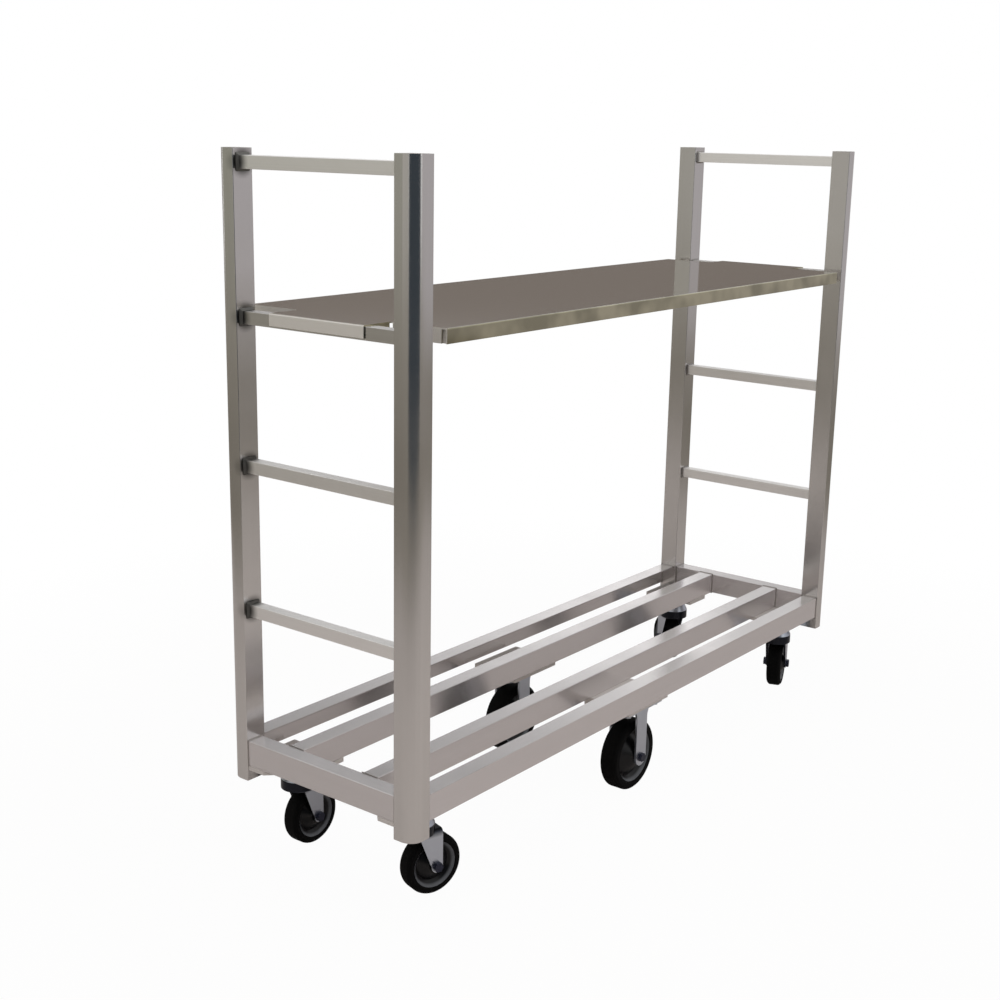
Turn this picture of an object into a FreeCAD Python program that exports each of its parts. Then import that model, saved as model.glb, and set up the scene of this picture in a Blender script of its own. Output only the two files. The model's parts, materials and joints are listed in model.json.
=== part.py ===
import FreeCAD, Part
import math
import os

import Sketcher

# U-boat cart: a long narrow stock cart of welded aluminium tube.
# X runs along the deck, Y across it and Z up. The origin lies on the floor
# under the middle wheels, at the centre of the deck.

SIZES = (
    ("cart_length", 1712.0, "length over the posts"),
    ("cart_width", 500.0, "width over the posts"),
    ("post_height", 1270.0, "length of a corner post with its cap"),
    ("post_size", 49.0, "side of the post's square section"),
    ("post_wall", 3.0, "wall of the post"),
    ("post_corner_radius", 29.0, "radius of the post's outer corner"),
    ("post_foot", 33.0, "reach of a post below the deck tubes"),
    ("cap_thickness", 3.0, "plate that closes a post's top end"),
    ("tube_width", 39.0, "width of a deck tube"),
    ("tube_height", 54.0, "height of a deck tube"),
    ("tube_wall", 3.0, "wall of a deck tube"),
    ("tube_edge_radius", 1.5, "radius of the long edges of posts and deck tubes"),
    ("rail_inset", 3.0, "outer face of a rail behind the post's outer face"),
    ("deck_gap", 164.0, "open gap along the middle of the deck"),
    ("bar_size", 25.4, "side of the square bar between two posts"),
    ("bar_wall", 2.5, "wall of the bar"),
    ("bar_edge_radius", 1.0, "radius of the bar's long edges"),
    ("lower_rung_height", 379.0, "top of the lower rung above the post's foot"),
    ("upper_rung_height", 675.0, "top of the upper rung above the post's foot"),
    ("shelf_bar_height", 967.0, "top of the shelf's bar above the post's foot"),
    ("top_bar_drop", 13.0, "top of the handle bar below the post's top"),
    ("shelf_sheet", 2.5, "thickness of the shelf's sheet"),
    ("shelf_width", 508.0, "width of the shelf over its lips"),
    ("shelf_post_gap", 33.0, "shelf's wide part to the inner face of a post"),
    ("shelf_lip", 28.0, "depth of the shelf's turned-down edges"),
    ("shelf_bend_radius", 3.0, "outer radius of the folded edges"),
    ("tongue_width", 242.0, "width of the tongue that rests on the bar"),
    ("hook_depth", 24.0, "depth of the tongue's end that hooks over the bar"),
    ("hook_clearance", 0.5, "play between the hook and the bar"),
    ("fold_relief", 13.0, "open corner between two folded edges"),
    ("notch_relief", 4.0, "open corner between the folded edges of a notch"),
    ("tab_setback", 5.0, "tab that closes a corner of the shelf, behind its end edge"),
    ("mount_thickness", 9.5, "caster mounting plate"),
    ("mount_inset", 20.0, "edge of a caster plate behind the face of the rail or tube above it"),
    ("corner_mount_length", 156.0, "reach of a corner plate from the end rail's face"),
    ("corner_mount_clip", 76.0, "cut-off inner corner of a corner plate"),
    ("middle_mount_length", 165.0, "length of a middle plate"),
    ("middle_mount_thickness", 20.0, "middle plate, thicker to bring its caster lower"),
    ("caster_end_inset", 108.0, "swivel axis from the end of the cart"),
    ("swivel_plate_length", 98.0, "corner caster's top plate along the cart"),
    ("middle_plate_length", 140.0, "middle caster's top plate along the cart"),
    ("caster_plate_width", 100.0, "caster's top plate across the cart"),
    ("caster_plate_thickness", 6.0, "thickness of a caster's top plate"),
    ("caster_plate_radius", 8.0, "corner radius of a caster's top plate"),
    ("axle_radius", 6.0, "wheel axle"),
    ("axle_head_radius", 10.5, "corner radius of the axle's hexagons"),
    ("axle_head_height", 7.5, "height of the axle's head and of its nut"),
    ("axle_clearance", 0.05, "wheel bore over the axle"),
    ("hub_clearance", 0.5, "wheel hub to the fork's leg"),
    ("leg_thickness", 5.0, "sheet of a caster fork"),
    ("swivel_caster_height", 198.0, "corner caster from its wheel's foot to its top plate"),
    ("swivel_wheel_radius", 63.5, "corner wheel"),
    ("swivel_tyre_width", 38.0, "corner wheel's tyre"),
    ("swivel_rim_radius", 48.0, "corner wheel's rim under the tyre"),
    ("swivel_hub_length", 43.0, "corner wheel's hub"),
    ("swivel_trail", 33.0, "axle behind the swivel axis"),
    ("fork_leg_top", 58.0, "width of a corner fork's leg at the crown"),
    ("fork_end_radius", 13.0, "rounded end of a corner fork's leg"),
    ("fork_bend_radius", 9.0, "bend between the crown and a leg"),
    ("crown_clearance", 10.0, "corner wheel's top to the crown"),
    ("crown_thickness", 6.0, "crown of the fork"),
    ("race_radius", 37.0, "ball race housing on the crown"),
    ("race_height", 15.0, "ball race housing above the crown"),
    ("race_gap", 0.5, "running gap between the two race housings"),
    ("neck_radius", 29.0, "waist of the upper race housing"),
    ("kingpin_radius", 10.0, "swivel pin"),
    ("kingpin_head_radius", 16.0, "head of the swivel pin below the crown"),
    ("kingpin_head_height", 6.0, "thickness of that head"),
    ("kingpin_clearance", 0.3, "play of the fork on the swivel pin"),
    ("middle_caster_height", 214.5, "middle caster from the floor to its top plate"),
    ("middle_wheel_radius", 85.0, "middle wheel"),
    ("middle_tyre_width", 45.0, "middle wheel's tyre"),
    ("middle_rim_radius", 64.0, "middle wheel's rim under the tyre"),
    ("middle_hub_length", 66.0, "middle wheel's hub"),
    ("middle_caster_shift", 8.0, "middle casters outside the line of the corner casters"),
    ("middle_leg_width", 42.0, "leg of a middle caster"),
    ("middle_leg_flare", 8.0, "widening of that leg at its top plate"),
    ("middle_flare_height", 22.0, "height of that widening"),
    ("tyre_shoulder", 6.0, "slope of a tyre's shoulders"),
    ("rim_inset", 1.5, "rim's side behind the tyre's side"),
    ("rim_band", 12.0, "radial depth of the slope inside the rim"),
    ("hub_radius", 17.0, "outside of a wheel's hub"),
    ("web_thickness", 14.0, "disc between hub and rim"),
    ("turn_left_front", -16.0, "rest angle of the left front caster, degrees"),
    ("turn_left_back", 0.0, "rest angle of the left back caster, degrees"),
    ("turn_right_front", 20.0, "rest angle of the right front caster, degrees"),
    ("turn_right_back", 56.0, "rest angle of the right back caster, degrees"),
)

ENDS = (("left", -1), ("right", 1))
SIDES = (("front", -1), ("back", 1))
# An edge closer than this to a plane, in mm, lies in it.
TOUCH = 0.01

doc = FreeCAD.newDocument("u_boat_cart")
sheet = doc.addObject("Spreadsheet::Sheet", "sizes")
for row, (alias, number, note) in enumerate(SIZES, 1):
    sheet.set(f"A{row}", alias)
    sheet.set(f"B{row}", str(number))
    sheet.setAlias(f"B{row}", alias)
    sheet.set(f"C{row}", note)
doc.recompute()

pieces = []


class Length:
    """A size of the sheet, or one worked out from several: its formula and its value."""

    def __init__(self, formula, value):
        self.formula = formula
        self.value = value

    def __add__(self, other):
        return Length(f"({self.formula} + {other.formula})", self.value + other.value)

    def __sub__(self, other):
        return Length(f"({self.formula} - {other.formula})", self.value - other.value)

    def __mul__(self, factor):
        return Length(f"({self.formula} * {factor})", self.value * factor)

    def __truediv__(self, factor):
        return Length(f"({self.formula} / {factor})", self.value / factor)

    def __neg__(self):
        return Length(f"(0 - {self.formula})", -self.value)

    def along(self, angle):
        turn = math.radians(angle.value)
        return Length(f"({self.formula} * cos({angle.formula}))", self.value * math.cos(turn))

    def across(self, angle):
        turn = math.radians(angle.value)
        return Length(f"({self.formula} * sin({angle.formula}))", self.value * math.sin(turn))


def size(alias):
    return Length(f"sizes.{alias}", float(sheet.get(alias)))


NONE = Length("0", 0.0)

# Heights above the floor and distances from the middle of the cart.
middle_underside = size("middle_caster_height")
deck_underside = middle_underside + size("middle_mount_thickness")
mount_underside = deck_underside - size("mount_thickness")
deck_top = deck_underside + size("tube_height")
post_bottom = deck_underside - size("post_foot")
post_top = post_bottom + size("post_height")
half_length = size("cart_length") / 2
half_width = size("cart_width") / 2
post_x = half_length - size("post_size") / 2
post_y = half_width - size("post_size") / 2
post_inner_x = half_length - size("post_size")
post_inner_y = half_width - size("post_size")
rail_face_x = half_length - size("rail_inset")
rail_face_y = half_width - size("rail_inset")
mount_edge_y = rail_face_y - size("mount_inset")
gap_half = size("deck_gap") / 2
caster_x = half_length - size("caster_end_inset")
caster_y = (rail_face_y + gap_half) / 2


def body_named(label):
    """An empty body that becomes one piece of the cart."""
    body = doc.addObject("PartDesign::Body", label)
    body.Label = label
    return body


def sketch_on(body, role, offset=NONE):
    """A sketch on one of the body's own planes, moved along the plane's normal."""
    sketch = body.newObject("Sketcher::SketchObject", f"{body.Name}_outline")
    plane = next(item for item in body.Origin.OriginFeatures if item.Role == role)
    sketch.AttachmentSupport = [(plane, "")]
    sketch.MapMode = "FlatFace"
    sketch.setExpression("AttachmentOffset.Base.z", offset.formula)
    return sketch


def hold(sketch, kind, length, *points):
    """A dimension of a sketch that follows a size of the sheet."""
    index = sketch.addConstraint(Sketcher.Constraint(kind, *points, length.value))
    name = f"size_{index}"
    sketch.renameConstraint(index, name)
    sketch.setExpression(f"Constraints.{name}", length.formula)


def hold_point(sketch, geometry, point, x, y):
    """Keeps one point of the sketch at a place measured from its origin."""
    hold(sketch, "DistanceX", x, -1, 1, geometry, point)
    hold(sketch, "DistanceY", y, -1, 1, geometry, point)


def outline(sketch, corners):
    """A closed outline, anticlockwise. A corner (x, y, centre x, centre y) starts an arc."""
    first = sketch.GeometryCount
    count = len(corners)
    for index, corner in enumerate(corners):
        x, y = corner[0].value, corner[1].value
        end_x, end_y = (item.value for item in corners[(index + 1) % count][:2])
        if len(corner) == 2:
            edge = Part.LineSegment(FreeCAD.Vector(x, y, 0), FreeCAD.Vector(end_x, end_y, 0))
        else:
            middle_x, middle_y = corner[2].value, corner[3].value
            start = math.atan2(y - middle_y, x - middle_x)
            end = math.atan2(end_y - middle_y, end_x - middle_x)
            if end <= start:
                end += 2 * math.pi
            radius = math.hypot(x - middle_x, y - middle_y)
            circle = Part.Circle(FreeCAD.Vector(middle_x, middle_y, 0), FreeCAD.Vector(0, 0, 1), radius)
            edge = Part.ArcOfCircle(circle, start, end)
        sketch.addGeometry(edge, False)
    for index, corner in enumerate(corners):
        following = first + (index + 1) % count
        sketch.addConstraint(Sketcher.Constraint("Coincident", first + index, 2, following, 1))
        hold_point(sketch, first + index, 1, corner[0], corner[1])
        if len(corner) > 2:
            hold(sketch, "DistanceY", corner[3], -1, 1, first + index, 3)


def rounded_rectangle(half_x, half_y, radii):
    """Corners of a centred rectangle; radii run from +x +y anticlockwise, None where sharp."""
    corners = []
    for (sign_x, sign_y), radius in zip(((1, 1), (-1, 1), (-1, -1), (1, -1)), radii):
        x, y = half_x * sign_x, half_y * sign_y
        if radius is None:
            corners.append((x, y))
            continue
        inner_x, inner_y = x - radius * sign_x, y - radius * sign_y
        ends = [(x, inner_y), (inner_x, y)]
        if sign_x != sign_y:
            ends.reverse()
        corners.append((*ends[0], inner_x, inner_y))
        corners.append(ends[1])
    return corners


def circle(sketch, x, y, radius):
    centre = FreeCAD.Vector(x.value, y.value, 0)
    index = sketch.addGeometry(Part.Circle(centre, FreeCAD.Vector(0, 0, 1), radius.value), False)
    hold_point(sketch, index, 3, x, y)
    hold(sketch, "Radius", radius, index)


def hexagon(sketch, radius):
    """A regular hexagon about the sketch's origin, from its corner radius."""
    flat = radius * (math.sqrt(3) / 2)
    half = radius / 2
    outline(sketch, [(radius, NONE), (half, flat), (-half, flat), (-radius, NONE), (-half, -flat), (half, -flat)])


def pad(body, sketch, length, symmetric=False, downward=False):
    feature = body.newObject("PartDesign::Pad", f"{body.Name}_pad")
    feature.Profile = sketch
    feature.setExpression("Length", length.formula)
    feature.SideType = "Symmetric" if symmetric else "One side"
    feature.Reversed = downward
    return feature


def cut_through(body, sketch):
    """Cuts a sketch's outline right through the body, both ways, and makes sure that it cuts."""
    doc.recompute()
    before = body.Shape.Volume
    feature = body.newObject("PartDesign::Pocket", f"{body.Name}_cut")
    feature.Profile = sketch
    feature.SideType = "Symmetric"
    feature.Type = "ThroughAll"
    doc.recompute()
    if body.Shape.Volume >= before:
        raise RuntimeError(f"{body.Label}: a cut took nothing away")


def spin(body, sketch):
    """Turns a sketch's outline round the sketch's own upright axis."""
    feature = body.newObject("PartDesign::Revolution", f"{body.Name}_spin")
    feature.Profile = sketch
    feature.ReferenceAxis = (sketch, ["V_Axis"])
    feature.Angle = 360.0


def round_edges(body, radius, chosen):
    """Rounds the edges that the test picks by their place."""
    doc.recompute()
    base = body.Tip
    names = [f"Edge{number}" for number, edge in enumerate(base.Shape.Edges, 1) if chosen(edge.BoundBox)]
    if not names:
        raise RuntimeError(f"{body.Label}: no edge to round")
    feature = body.newObject("PartDesign::Fillet", f"{body.Name}_rounding")
    feature.Base = (base, names)
    feature.setExpression("Radius", radius.formula)


def place(item, x, y, z, rotation=FreeCAD.Rotation(), turn=None):
    """Puts a finished piece at its place in the cart and keeps it for the hand-over."""
    item.Placement = FreeCAD.Placement(FreeCAD.Vector(x.value, y.value, z.value), rotation)
    for axis, length in zip("xyz", (x, y, z)):
        item.setExpression(f"Placement.Base.{axis}", length.formula)
    if turn:
        item.setExpression("Placement.Rotation.Angle", turn.formula)
    pieces.append(item)


ALONG_X = FreeCAD.Rotation(FreeCAD.Vector(0, 1, 0), 90)
ALONG_Y = FreeCAD.Rotation(FreeCAD.Vector(1, 0, 0), -90)


def tube(label, half_x, half_y, wall, radius, length):
    """A rectangular tube with its own Z axis along it, centred on the origin."""
    body = body_named(label)
    sketch = sketch_on(body, "XY_Plane")
    outline(sketch, rounded_rectangle(half_x, half_y, [radius] * 4))
    outline(sketch, rounded_rectangle(half_x - wall, half_y - wall, [None] * 4))
    pad(body, sketch, length, symmetric=True)
    return body


def side_angle(label, half_top, half_drop, wall, sign, length):
    """An angle along the cart: its flange lies level and its web hangs down at the outside."""
    body = body_named(label)
    sketch = sketch_on(body, "XY_Plane")
    web = half_top - wall
    flange = wall - half_drop
    corners = [
        (-half_drop, -half_top),
        (flange, -half_top),
        (flange, web),
        (half_drop, web),
        (half_drop, half_top),
        (-half_drop, half_top),
    ]
    outline(sketch, [(down, out * sign) for down, out in corners])
    pad(body, sketch, length, symmetric=True)
    return body


def post_section(sketch, hollow):
    """The post's square section: one large round corner, at +x +y, and three tight ones."""
    half = size("post_size") / 2
    edge = size("tube_edge_radius")
    outline(sketch, rounded_rectangle(half, half, [size("post_corner_radius"), edge, edge, edge]))
    if hollow:
        inner = half - size("post_wall")
        inner_radius = size("post_corner_radius") - size("post_wall")
        outline(sketch, rounded_rectangle(inner, inner, [inner_radius, None, None, None]))


def corner_rotation(sign_x, sign_y):
    """Turns the post's round corner from +x +y to the cart's own corner."""
    angle = math.degrees(math.atan2(sign_y, sign_x)) - 45.0
    return FreeCAD.Rotation(FreeCAD.Vector(0, 0, 1), angle)


def build_posts():
    """Four corner posts and the plates that close their top ends."""
    cap = body_named("post_cap_pattern")
    sketch = sketch_on(cap, "XY_Plane")
    post_section(sketch, hollow=False)
    pad(cap, sketch, size("cap_thickness"))
    doc.recompute()
    caps = []
    for end, sign_x in ENDS:
        for side, sign_y in SIDES:
            post = body_named(f"post_{end}_{side}")
            sketch = sketch_on(post, "XY_Plane")
            post_section(sketch, hollow=True)
            pad(post, sketch, size("post_height") - size("cap_thickness"))
            rotation = corner_rotation(sign_x, sign_y)
            place(post, post_x * sign_x, post_y * sign_y, post_bottom, rotation)
            seat = FreeCAD.Vector(post_x.value * sign_x, post_y.value * sign_y,
                                  (post_top - size("cap_thickness")).value)
            caps.append(moved(cap.Shape, FreeCAD.Placement(seat, rotation)))
    group("post_caps", caps)


def moved(shape, placement):
    copy = shape.copy()
    copy.Placement = placement
    return copy


def group(label, shapes):
    """Like pieces that share one node, each its own solid."""
    item = doc.addObject("Part::Feature", label)
    item.Label = label
    item.Shape = Part.makeCompound(shapes)
    pieces.append(item)


def build_bars():
    """Square bars between the two posts of each end."""
    half = size("bar_size") / 2
    span = post_inner_y * 2
    levels = (
        ("lower_rung", post_bottom + size("lower_rung_height")),
        ("upper_rung", post_bottom + size("upper_rung_height")),
        ("shelf_bar", post_bottom + size("shelf_bar_height")),
        ("top_bar", post_top - size("top_bar_drop")),
    )
    for name, top in levels:
        for end, sign in ENDS:
            bar = tube(f"{name}_{end}", half, half, size("bar_wall"), size("bar_edge_radius"), span)
            place(bar, post_x * sign, NONE, top - half, ALONG_Y)


def build_deck():
    """Side angles and end rails between the posts, and two tubes between the end rails."""
    half_w = size("tube_width") / 2
    half_h = size("tube_height") / 2
    level = deck_underside + half_h
    wall = size("tube_wall")
    radius = size("tube_edge_radius")
    inner_span = (rail_face_x - size("tube_width")) * 2
    for side, sign in SIDES:
        rail = side_angle(f"side_rail_{side}", half_w, half_h, wall, sign, post_inner_x * 2)
        place(rail, NONE, (rail_face_y - half_w) * sign, level, ALONG_X)
        inner = tube(f"deck_tube_{side}", half_h, half_w, wall, radius, inner_span)
        place(inner, NONE, (gap_half + half_w) * sign, level, ALONG_X)
    for end, sign in ENDS:
        rail = tube(f"end_rail_{end}", half_w, half_h, wall, radius, post_inner_y * 2)
        place(rail, (rail_face_x - half_w) * sign, NONE, level, ALONG_Y)


def build_mounts():
    """Plates welded under the deck tubes that carry the casters."""
    inner_x = rail_face_x - size("corner_mount_length")
    clip = size("corner_mount_clip")
    for end, sign_x in ENDS:
        for side, sign_y in SIDES:
            corners = [
                (inner_x, gap_half),
                (rail_face_x - clip, gap_half),
                (rail_face_x, gap_half + clip),
                (rail_face_x, post_inner_y),
                (post_inner_x, post_inner_y),
                (post_inner_x, mount_edge_y),
                (inner_x, mount_edge_y),
            ]
            mount_plate(f"caster_mount_{end}_{side}", corners, sign_x, sign_y, mount_underside)
    half = size("middle_mount_length") / 2
    inner_y = gap_half + size("mount_inset")
    for side, sign_y in SIDES:
        corners = [(-half, inner_y), (half, inner_y), (half, mount_edge_y), (-half, mount_edge_y)]
        mount_plate(f"caster_mount_middle_{side}", corners, 1, sign_y, middle_underside)


def mount_plate(label, corners, sign_x, sign_y, underside):
    body = body_named(label)
    sketch = sketch_on(body, "XY_Plane")
    outline(sketch, [(x * sign_x, y * sign_y) for x, y in corners])
    pad(body, sketch, deck_underside - underside)
    place(body, NONE, NONE, underside)


def folded_edge(sketch, low_x, low_y, high_x, high_y):
    outline(sketch, [(low_x, low_y), (high_x, low_y), (high_x, high_y), (low_x, high_y)])


def build_shelf():
    """A folded sheet whose two tongues lie on the shelf bars and hook over them."""
    sheet_t = size("shelf_sheet")
    wide_x = post_inner_x - size("shelf_post_gap")
    wide_y = size("shelf_width") / 2
    tongue_y = size("tongue_width") / 2
    bar_outer = post_x + size("bar_size") / 2
    bar_inner = post_x - size("bar_size") / 2
    hook_inner = bar_outer + size("hook_clearance")
    hook_x = hook_inner + sheet_t
    relief = size("fold_relief")
    notch_relief = size("notch_relief")

    shelf = body_named("shelf")
    face = sketch_on(shelf, "XY_Plane")
    outline(face, [
        (hook_x, -tongue_y), (hook_x, tongue_y), (wide_x, tongue_y), (wide_x, wide_y),
        (-wide_x, wide_y), (-wide_x, tongue_y), (-hook_x, tongue_y), (-hook_x, -tongue_y),
        (-wide_x, -tongue_y), (-wide_x, -wide_y), (wide_x, -wide_y), (wide_x, -tongue_y),
    ])
    pad(shelf, face, sheet_t)

    hooks = sketch_on(shelf, "XY_Plane")
    folded_edge(hooks, hook_inner, -tongue_y, hook_x, tongue_y)
    folded_edge(hooks, -hook_x, -tongue_y, -hook_inner, tongue_y)
    pad(shelf, hooks, size("hook_depth") - sheet_t, downward=True)

    lips = sketch_on(shelf, "XY_Plane")
    folded_edge(lips, -wide_x, wide_y - sheet_t, wide_x, wide_y)
    folded_edge(lips, -wide_x, -wide_y, wide_x, sheet_t - wide_y)
    near = tongue_y + notch_relief
    far = wide_y - relief
    fold_start = wide_x + notch_relief
    fold_end = bar_inner - size("hook_clearance")
    for sign_y in (-1, 1):
        notch = sorted((near * sign_y, far * sign_y), key=lambda length: length.value)
        edge = sorted((tongue_y * sign_y, (tongue_y - sheet_t) * sign_y), key=lambda length: length.value)
        folded_edge(lips, wide_x - sheet_t, notch[0], wide_x, notch[1])
        folded_edge(lips, -wide_x, notch[0], sheet_t - wide_x, notch[1])
        folded_edge(lips, fold_start, edge[0], fold_end, edge[1])
        folded_edge(lips, -fold_end, edge[0], -fold_start, edge[1])
    pad(shelf, lips, size("shelf_lip") - sheet_t, downward=True)

    tabs = sketch_on(shelf, "XY_Plane")
    tab_x = wide_x - size("tab_setback")
    for sign_y in (-1, 1):
        reach = ((far - relief) * sign_y, (wide_y - sheet_t / 2) * sign_y)
        low_y, high_y = sorted(reach, key=lambda length: length.value)
        folded_edge(tabs, tab_x - sheet_t, low_y, tab_x, high_y)
        folded_edge(tabs, -tab_x, low_y, sheet_t - tab_x, high_y)
    pad(shelf, tabs, size("shelf_lip") - sheet_t, downward=True)

    top = sheet_t.value
    long_edge = wide_x.value

    def on_a_fold(box):
        level = abs(box.ZMin - top) < TOUCH and abs(box.ZMax - top) < TOUCH
        lip = box.YLength < TOUCH and box.XLength > long_edge and abs(abs(box.YMin) - wide_y.value) < TOUCH
        hook = box.XLength < TOUCH and abs(abs(box.XMin) - hook_x.value) < TOUCH
        return level and (lip or hook)

    round_edges(shelf, size("shelf_bend_radius"), on_a_fold)
    place(shelf, NONE, NONE, post_bottom + size("shelf_bar_height"))


def plate_outline(body, length):
    """Outline of a caster's top plate, which hangs down from the body's origin."""
    sketch = sketch_on(body, "XY_Plane")
    half_y = size("caster_plate_width") / 2
    outline(sketch, rounded_rectangle(length / 2, half_y, [size("caster_plate_radius")] * 4))
    return sketch


class Wheel:
    """The sizes of one kind of wheel and of the fork that holds it."""

    def __init__(self, kind, caster_height):
        self.radius = size(f"{kind}_wheel_radius")
        self.half_tyre = size(f"{kind}_tyre_width") / 2
        self.rim = size(f"{kind}_rim_radius")
        self.half_hub = size(f"{kind}_hub_length") / 2
        self.half_gap = self.half_hub + size("hub_clearance")
        self.half_fork = self.half_gap + size("leg_thickness")
        self.axle_drop = caster_height - self.radius
        self.top = self.radius - self.axle_drop


SWIVEL = Wheel("swivel", size("swivel_caster_height"))
MIDDLE = Wheel("middle", size("middle_caster_height"))

crown_underside = SWIVEL.top + size("crown_clearance")
crown_top = crown_underside + size("crown_thickness")
race_top = crown_top + size("race_height")


def swivel_plate(label):
    """Top plate of a swivel caster with the upper housing of its ball race below it."""
    body = body_named(label)
    sketch = plate_outline(body, size("swivel_plate_length"))
    circle(sketch, NONE, NONE, size("kingpin_radius"))
    thickness = size("caster_plate_thickness")
    pad(body, sketch, thickness, downward=True)
    inner = size("kingpin_radius")
    rim = size("race_radius")
    low = race_top + size("race_gap")
    waist = (low - thickness) / 2
    housing = sketch_on(body, "XZ_Plane")
    outline(housing, [
        (inner, -thickness), (inner, low), (rim, low), (size("neck_radius"), waist), (rim, -thickness),
    ])
    spin(body, housing)
    return body


def kingpin_pattern():
    """Swivel pin with the head that carries the fork's crown."""
    body = body_named("kingpin_pattern")
    shank = sketch_on(body, "XY_Plane")
    circle(shank, NONE, NONE, size("kingpin_radius"))
    head_top = crown_underside - size("race_gap")
    pad(body, shank, -head_top, downward=True)
    head = sketch_on(body, "XY_Plane", head_top)
    circle(head, NONE, NONE, size("kingpin_head_radius"))
    pad(body, head, size("kingpin_head_height"), downward=True)
    doc.recompute()
    return body


def fork_slot(body, wheel, roof):
    """Opens the room for the wheel between the two legs."""
    slot = sketch_on(body, "YZ_Plane")
    floor = -(wheel.axle_drop + wheel.radius)
    outline(slot, [
        (-wheel.half_gap, floor), (wheel.half_gap, floor), (wheel.half_gap, roof), (-wheel.half_gap, roof),
    ])
    cut_through(body, slot)


def axle_holes(body, x, wheel):
    holes = sketch_on(body, "XZ_Plane")
    circle(holes, x, -wheel.axle_drop, size("axle_radius"))
    cut_through(body, holes)


def swivel_fork(label):
    """Fork of a swivel caster: crown, two raked legs with rounded ends, lower race housing."""
    body = body_named(label)
    trail = size("swivel_trail")
    end = size("fork_end_radius")
    axle = -SWIVEL.axle_drop
    back = trail + end
    side = sketch_on(body, "XZ_Plane")
    outline(side, [
        (back, crown_top), (back - size("fork_leg_top"), crown_top), (trail - end, axle, trail, axle), (back, axle),
    ])
    pad(body, side, SWIVEL.half_fork * 2, symmetric=True)
    fork_slot(body, SWIVEL, crown_underside)

    def shoulder(box):
        level = abs(box.ZMin - crown_top.value) < TOUCH and abs(box.ZMax - crown_top.value) < TOUCH
        return level and box.YLength < TOUCH

    round_edges(body, size("fork_bend_radius"), shoulder)
    housing = sketch_on(body, "XY_Plane", crown_underside)
    circle(housing, NONE, NONE, size("race_radius"))
    pad(body, housing, race_top - crown_underside)
    bore = sketch_on(body, "XY_Plane")
    circle(bore, NONE, NONE, size("kingpin_radius") + size("kingpin_clearance"))
    cut_through(body, bore)
    axle_holes(body, trail, SWIVEL)
    return body


def middle_fork(label):
    """Rigid fork: a top plate with two straight legs that widen where they meet it."""
    body = body_named(label)
    sketch = plate_outline(body, size("middle_plate_length"))
    thickness = size("caster_plate_thickness")
    pad(body, sketch, thickness, downward=True)
    leg = size("middle_leg_width") / 2
    wide = leg + size("middle_leg_flare")
    narrow_z = -thickness - size("middle_flare_height")
    axle = -MIDDLE.axle_drop
    side = sketch_on(body, "XZ_Plane")
    outline(side, [
        (wide, -thickness), (-wide, -thickness), (-leg, narrow_z),
        (-leg, axle, NONE, axle), (leg, axle), (leg, narrow_z),
    ])
    pad(body, side, MIDDLE.half_fork * 2, symmetric=True)
    fork_slot(body, MIDDLE, -thickness)
    axle_holes(body, NONE, MIDDLE)
    return body


def axle_bolt(label, wheel):
    """Axle across the fork, with a hexagon head in front and a nut behind."""
    body = body_named(label)
    height = size("axle_head_height")
    shank = sketch_on(body, "XZ_Plane")
    circle(shank, NONE, NONE, size("axle_radius"))
    pad(body, shank, (wheel.half_fork + height) * 2, symmetric=True)
    head = sketch_on(body, "XZ_Plane", wheel.half_fork)
    hexagon(head, size("axle_head_radius"))
    pad(body, head, height)
    nut = sketch_on(body, "XZ_Plane", -wheel.half_fork)
    hexagon(nut, size("axle_head_radius"))
    pad(body, nut, height, downward=True)
    return body


def wheel_core(label, wheel):
    """Moulded wheel centre, dished between hub and rim on both sides, bored for the axle."""
    body = body_named(label)
    bore = size("axle_radius") + size("axle_clearance")
    hub = size("hub_radius")
    valley = wheel.rim - size("rim_band")
    half_web = size("web_thickness") / 2
    half_rim = wheel.half_tyre - size("rim_inset")
    sketch = sketch_on(body, "XY_Plane")
    outline(sketch, [
        (bore, -wheel.half_hub), (hub, -wheel.half_hub), (valley, -half_web), (wheel.rim, -half_rim),
        (wheel.rim, half_rim), (valley, half_web), (hub, wheel.half_hub), (bore, wheel.half_hub),
    ])
    spin(body, sketch)
    return body


def tyre(label, wheel):
    """Solid rubber tyre with sloped shoulders, bonded round the rim."""
    body = body_named(label)
    shoulder = size("tyre_shoulder")
    inner = wheel.radius - shoulder
    flank = wheel.half_tyre - shoulder
    sketch = sketch_on(body, "XY_Plane")
    outline(sketch, [
        (wheel.rim, -wheel.half_tyre), (inner, -wheel.half_tyre), (wheel.radius, -flank),
        (wheel.radius, flank), (inner, wheel.half_tyre), (wheel.rim, wheel.half_tyre),
    ])
    spin(body, sketch)
    return body


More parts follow.
